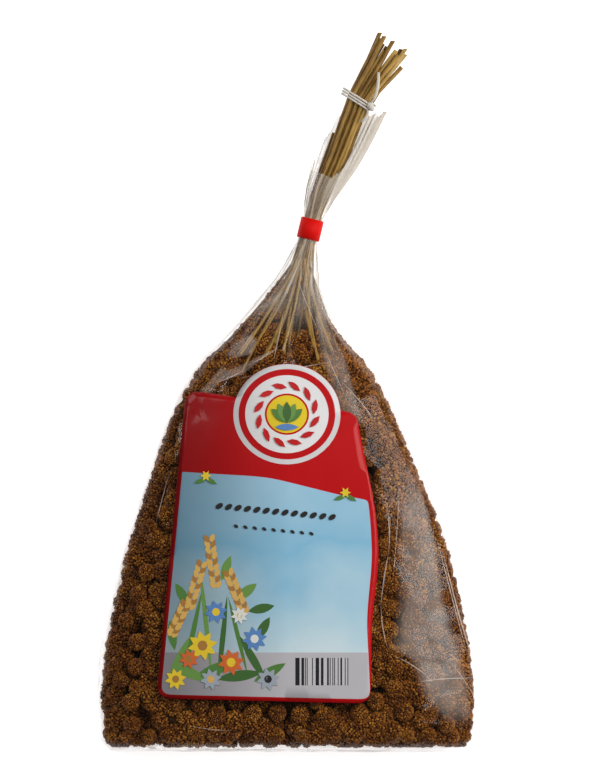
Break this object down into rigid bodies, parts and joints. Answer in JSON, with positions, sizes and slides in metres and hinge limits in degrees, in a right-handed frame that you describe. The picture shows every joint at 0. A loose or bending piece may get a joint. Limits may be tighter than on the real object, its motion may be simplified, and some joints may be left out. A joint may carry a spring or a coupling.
{
  "type": "bagged bunch of millet seed heads",
  "caption": "Tied bunch of millet seed heads on their stems, in a clear film bag with a taped neck and a die-cut label, lying on its back.",
  "frame": {"origin": "on the flat back of the bag, which rests on z = 0, under the middle of the label", "axes": "+Y along the bunch towards the cut ends of the stems, +X to the right of the label, +Z out of the front of the bag"},
  "size_m": [0.228, 0.4323, 0.0568],
  "materials": {
    "seed": "dry red-brown husks on straw stems, matt",
    "film": "thin clear film, glossy, softly creased",
    "tape": "bright red adhesive tape, satin",
    "string": "undyed twisted cotton string",
    "label": "coated printed label, semi-gloss, red and sky blue"
  },
  "bodies": {
    "root": {"spray_front_1": "seed", "spray_front_2": "seed", "spray_front_3": "seed", "spray_front_4": "seed", "spray_front_5": "seed", "spray_front_6": "seed", "spray_front_7": "seed", "spray_back_1": "seed", "spray_back_2": "seed", "spray_back_3": "seed", "spray_back_4": "seed", "spray_back_5": "seed", "spray_back_6": "seed", "spray_back_7": "seed", "spray_side_left": "seed", "spray_side_right": "seed", "bag_film": "film", "neck_tape": "tape", "string_tie": "string", "label": "label"}
  },
  "joints": []
}
